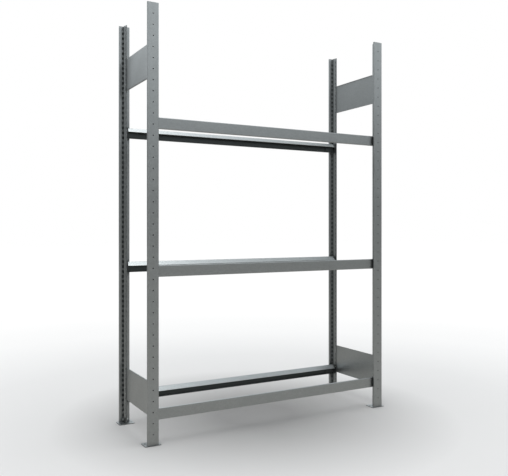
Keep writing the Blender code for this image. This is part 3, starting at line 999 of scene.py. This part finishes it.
def add_foot_cuts(bm, top):
    """Two anchor holes down through the plate and the bolt hole across the cheeks."""
    circle = circle_outline(ANCHOR_RADIUS, ROUND_SIDES)
    for side in SIDES.values():
        x = side * ANCHOR_SPREAD
        points = [(point.x + x, point.y + ANCHOR_DEPTH, -CUT_MARGIN) for point in circle]
        extrude_outline(points, (0.0, 0.0, top + 2 * CUT_MARGIN), bm)
    circle = circle_outline(BOLT_HOLE, ROUND_SIDES)
    z = foot_bolt_height()
    points = [(-CROSS_CUT, point.x + FOOT_BOLT_DEPTH, point.y + z) for point in circle]
    extrude_outline(points, (2 * CROSS_CUT, 0.0, 0.0), bm)


def foot_mesh():
    """Floor plate with round corners, two cheeks on its fillets, anchor holes and bolt hole."""
    plate_low, plate_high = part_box("foot_plate_front_left")
    place, _ = corner_place("left", "front")
    length = plate_high.y - plate_low.y
    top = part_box("upright_front_left")[0].z - GAP
    middle = plate_low.y - place.y + length / 2
    plan = rounded_rectangle(plate_high.x - plate_low.x, length, FOOT_CORNER, ARC_STEPS)
    outline = [(point.x, point.y + middle, 0.0) for point in plan]
    mesh = mesh_from("foot_plate", extrude_outline(outline, (0.0, 0.0, top)))
    for side in SIDES.values():
        mesh = boolean(mesh, cheek_mesh(side, top, plate_high.z), "UNION")
        mesh = boolean(mesh, cheek_fillet_mesh(side, top), "UNION")
    cuts = bmesh.new()
    add_foot_cuts(cuts, top)
    mesh = boolean(mesh, mesh_from("foot_cuts", cuts), "DIFFERENCE")
    mesh = bevelled(mesh, FOOT_EDGE)
    mesh.name = "foot_plate"
    return smoothed(mesh)


def hex_prism(low_x, high_x):
    """Hexagonal body about X, its corners turned down at the face towards -X."""
    radius = HEX_ACROSS_FLATS / math.sqrt(3)
    points = [(low_x, point.x, point.y) for point in circle_outline(radius, 6)]
    body = mesh_from("hexagon", extrude_outline(points, (high_x - low_x, 0.0, 0.0)))
    face = radius - HEX_CHAMFER
    full = radius + HEX_BLANK_MARGIN
    chamfer_end = low_x + HEX_CHAMFER * HEX_CHAMFER_SLOPE
    blank = lathe([
        (low_x - CUT_MARGIN, 0.0), (low_x - CUT_MARGIN, face), (low_x, face),
        (chamfer_end, full), (high_x + CUT_MARGIN, full), (high_x + CUT_MARGIN, 0.0),
    ], HEX_BLANK_SIDES)
    return boolean(body, mesh_from("blank", blank), "INTERSECT")


def threaded_rod(low_x, high_x):
    """Rod along X with a single-start thread that runs out at both ends."""
    steps = int((high_x - low_x) / THREAD_PITCH * THREAD_STEPS)
    rings = []
    for step in range(steps + 1):
        x = low_x + (high_x - low_x) * step / steps
        run_out = min(1.0, step / THREAD_STEPS, (steps - step) / THREAD_STEPS)
        ring = []
        for side in range(ROD_SIDES):
            phase = (x / THREAD_PITCH - side / ROD_SIDES) % 1.0
            depth = THREAD_DEPTH * abs(2.0 * phase - 1.0) * run_out + THREAD_DEPTH * (1.0 - run_out)
            angle = math.tau * side / ROD_SIDES
            radius = ROD_RADIUS - depth
            ring.append((x, radius * math.cos(angle), radius * math.sin(angle)))
        rings.append(ring)
    return skin_rings("rod", rings)


def foot_bolt_mesh(low_x, high_x):
    """Bolt along X: hexagonal head at -X with a washer face under it, and a threaded rod."""
    head_end = low_x + BOLT_HEAD_HEIGHT
    hexagon_end = head_end - WASHER_FACE_HEIGHT
    washer_start = hexagon_end - OVERLAP
    washer_face = lathe([
        (washer_start, 0.0), (washer_start, WASHER_FACE), (head_end, WASHER_FACE), (head_end, 0.0),
    ])
    head = boolean(hex_prism(low_x, hexagon_end), mesh_from("washer_face", washer_face), "UNION")
    bolt = boolean(head, threaded_rod(head_end - OVERLAP, high_x), "UNION")
    bolt.name = "foot_bolt"
    return smoothed(bolt, degrees=40.0)


def foot_nut_mesh(low_x, high_x):
    """Nut about X, chamfered at +X, with a bore that flares at both ends."""
    hexagon = hex_prism(-high_x, -low_x)
    hexagon.transform(Matrix.Rotation(math.pi, 4, "Z"))
    start = low_x - CUT_MARGIN
    end = high_x + CUT_MARGIN
    bore = lathe([
        (start, 0.0), (start, NUT_FLARES[0]), (low_x + NUT_LEAD_IN, NUT_BORE),
        (high_x - NUT_LEAD_IN, NUT_BORE), (end, NUT_FLARES[1]), (end, 0.0),
    ])
    nut = boolean(hexagon, mesh_from("bore", bore), "DIFFERENCE")
    nut.name = "foot_nut"
    return smoothed(nut, degrees=40.0)


def reach_from_web(node):
    """Lowest and highest X of a node at the front left upright, measured from its middle."""
    low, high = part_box(node)
    middle = corner_place("left", "front")[0].x
    return low.x - middle, high.x - middle


def build_feet(zinc):
    foot = foot_mesh()
    bolt = foot_bolt_mesh(*reach_from_web("foot_bolt_front_left"))
    nut = foot_nut_mesh(*reach_from_web("foot_nut_front_left"))
    steel = galvanised_steel("galvanised_foot", "Y")
    for side_name in SIDES:
        for end_name in ENDS:
            corner = f"{end_name}_{side_name}"
            place, turn = corner_place(side_name, end_name)
            node = f"foot_plate_{corner}"
            place_piece(f"{node}_pressing", foot, steel, place, turn, "frame", node)
            low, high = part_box(f"foot_bolt_{corner}")
            spot = (low + high) / 2
            spot.x = place.x
            bolt_turn = 0.0 if side_name == "left" else math.pi
            for kind, mesh in (("bolt", bolt), ("nut", nut)):
                node = f"foot_{kind}_{corner}"
                name = f"{node}_hex"
                place_piece(name, mesh, zinc, spot, bolt_turn, "frame", node)


# ---------------------------------------------------------------- studio

def floor_material():
    """Matt pale floor around the rack that fades into the white backdrop further out.

    A painted shadow lies under the rack and lightens outwards; all rays but the camera's see a darker
    painted shade.
    """
    n = Nodes("studio_floor")
    position = n.add("ShaderNodeNewGeometry").outputs["Position"]
    length = n.add("ShaderNodeVectorMath", operation="LENGTH")
    n.link(position, length.inputs[0])
    distance = length.outputs["Value"]
    seen = n.add("ShaderNodeLightPath").outputs["Is Camera Ray"]
    near = n.remap(distance, UNDER_RADIUS, NEAR_RADIUS, 0.0, 1.0)
    far = n.remap(distance, NEAR_RADIUS, FAR_RADIUS, 0.0, 1.0)
    # Painted shadow under the rack, lightening outwards
    painted_floor_shade = n.mix(far, n.mix(near, FLOOR_SHADOW_UNDER, FLOOR_SHADE_NEAR), FLOOR_FAR)
    grain = n.noise(n.coordinates((1.0, 1.0, 1.0)), 3.0, detail=2.0)
    varied = n.mix(n.remap(grain, 0.3, 0.7, 0.0, 0.04), painted_floor_shade, FLOOR_MOTTLE)
    # Camera rays see the floor with its painted shadow; reflections and bounce light see the darker
    # painted shade
    n.link(n.mix(seen, FLOOR_SHADE_IN_REFLECTIONS, varied), n.shader.inputs["Base Color"])
    n.shader.inputs["Roughness"].default_value = 0.85
    n.shader.inputs["Specular IOR Level"].default_value = 0.1

    backdrop = n.add("ShaderNodeEmission")
    backdrop.inputs["Strength"].default_value = BACKDROP_STRENGTH
    fade = n.math("MULTIPLY", n.remap(distance, *FADE_RANGE, 0.0, 1.0), seen)
    blend = n.add("ShaderNodeMixShader")
    n.link(fade, blend.inputs[0])
    n.link(n.shader.outputs[0], blend.inputs[1])
    n.link(backdrop.outputs[0], blend.inputs[2])
    n.link(blend.outputs[0], n.tree.nodes["Material Output"].inputs["Surface"])
    return n.material


def build_floor():
    bm = bmesh.new()
    bmesh.ops.create_grid(bm, x_segments=FLOOR_CELLS, y_segments=FLOOR_CELLS, size=FLOOR_SIZE)
    mesh = mesh_from("floor", bm)
    mesh.materials.append(floor_material())
    floor = add_object("floor", mesh)
    floor.location.z = -FLOOR_DROP


def build_world():
    """White to the camera; to the metal, a dim horizon under a bright ceiling."""
    world = bpy.data.worlds.new("studio")
    bpy.context.scene.world = world
    world.use_nodes = True
    tree = world.node_tree
    tree.nodes.clear()
    direction = tree.nodes.new("ShaderNodeTexCoord").outputs["Generated"]
    split = tree.nodes.new("ShaderNodeSeparateXYZ")
    tree.links.new(direction, split.inputs[0])
    ramp = tree.nodes.new("ShaderNodeValToRGB")
    ramp.color_ramp.interpolation = "EASE"
    for index, (height, level) in enumerate(CEILING_RAMP):
        if index > 1:
            ramp.color_ramp.elements.new(height)
        element = ramp.color_ramp.elements[index]
        element.position = height
        tinted = min(1.0, height / TINT_HEIGHT)
        element.color = (*(level * (1 + tint * tinted) for tint in CEILING_TINT), 1.0)
    tree.links.new(split.outputs["Z"], ramp.inputs["Fac"])
    left = tree.nodes.new("ShaderNodeMapRange")
    left.inputs["From Min"].default_value = LEFT_DIMMING_RANGE[0]
    left.inputs["From Max"].default_value = LEFT_DIMMING_RANGE[1]
    left.inputs["To Min"].default_value = CEILING_STRENGTH * LEFT_DIMMING
    left.inputs["To Max"].default_value = CEILING_STRENGTH
    tree.links.new(split.outputs["X"], left.inputs["Value"])
    metal_view = tree.nodes.new("ShaderNodeBackground")
    tree.links.new(left.outputs["Result"], metal_view.inputs["Strength"])
    tree.links.new(ramp.outputs["Color"], metal_view.inputs["Color"])
    camera_view = tree.nodes.new("ShaderNodeBackground")
    camera_view.inputs["Color"].default_value = (1.0, 1.0, 1.0, 1.0)
    choose = tree.nodes.new("ShaderNodeMixShader")
    path = tree.nodes.new("ShaderNodeLightPath")
    tree.links.new(path.outputs["Is Camera Ray"], choose.inputs[0])
    tree.links.new(metal_view.outputs[0], choose.inputs[1])
    tree.links.new(camera_view.outputs[0], choose.inputs[2])
    output = tree.nodes.new("ShaderNodeOutputWorld")
    tree.links.new(choose.outputs[0], output.inputs["Surface"])


def build_softbox():
    light = bpy.data.lights.new("overhead_softbox", "AREA")
    light.shape = "RECTANGLE"
    light.size, light.size_y = SOFTBOX_SIZE
    light.energy = SOFTBOX_POWER
    softbox = bpy.data.objects.new("overhead_softbox", light)
    bpy.context.scene.collection.objects.link(softbox)
    softbox.location = SOFTBOX_PLACE
    view = Vector(SOFTBOX_TARGET) - Vector(SOFTBOX_PLACE)
    softbox.rotation_euler = view.to_track_quat("-Z", "Y").to_euler()


def build_camera():
    data = bpy.data.cameras.new("camera")
    data.lens = CAMERA_LENS
    data.sensor_width = CAMERA_SENSOR
    data.shift_y = CAMERA_SHIFT_UP
    data.clip_start = CAMERA_NEAR
    camera = bpy.data.objects.new("camera", data)
    bpy.context.scene.collection.objects.link(camera)
    camera.location = CAMERA_PLACE
    camera.rotation_euler = (math.radians(CAMERA_TILT), 0.0, math.radians(CAMERA_TURN))
    bpy.context.scene.camera = camera


def build_studio():
    build_floor()
    build_world()
    build_softbox()
    build_camera()
    bpy.context.scene.view_settings.view_transform = "Standard"


# ---------------------------------------------------------------- the scene

zinc_finish = zinc_plating("zinc_plating")
build_uprights()
build_beams()
build_panels(zinc_finish)
build_feet(zinc_finish)
build_studio()

bpy.context.view_layer.update()
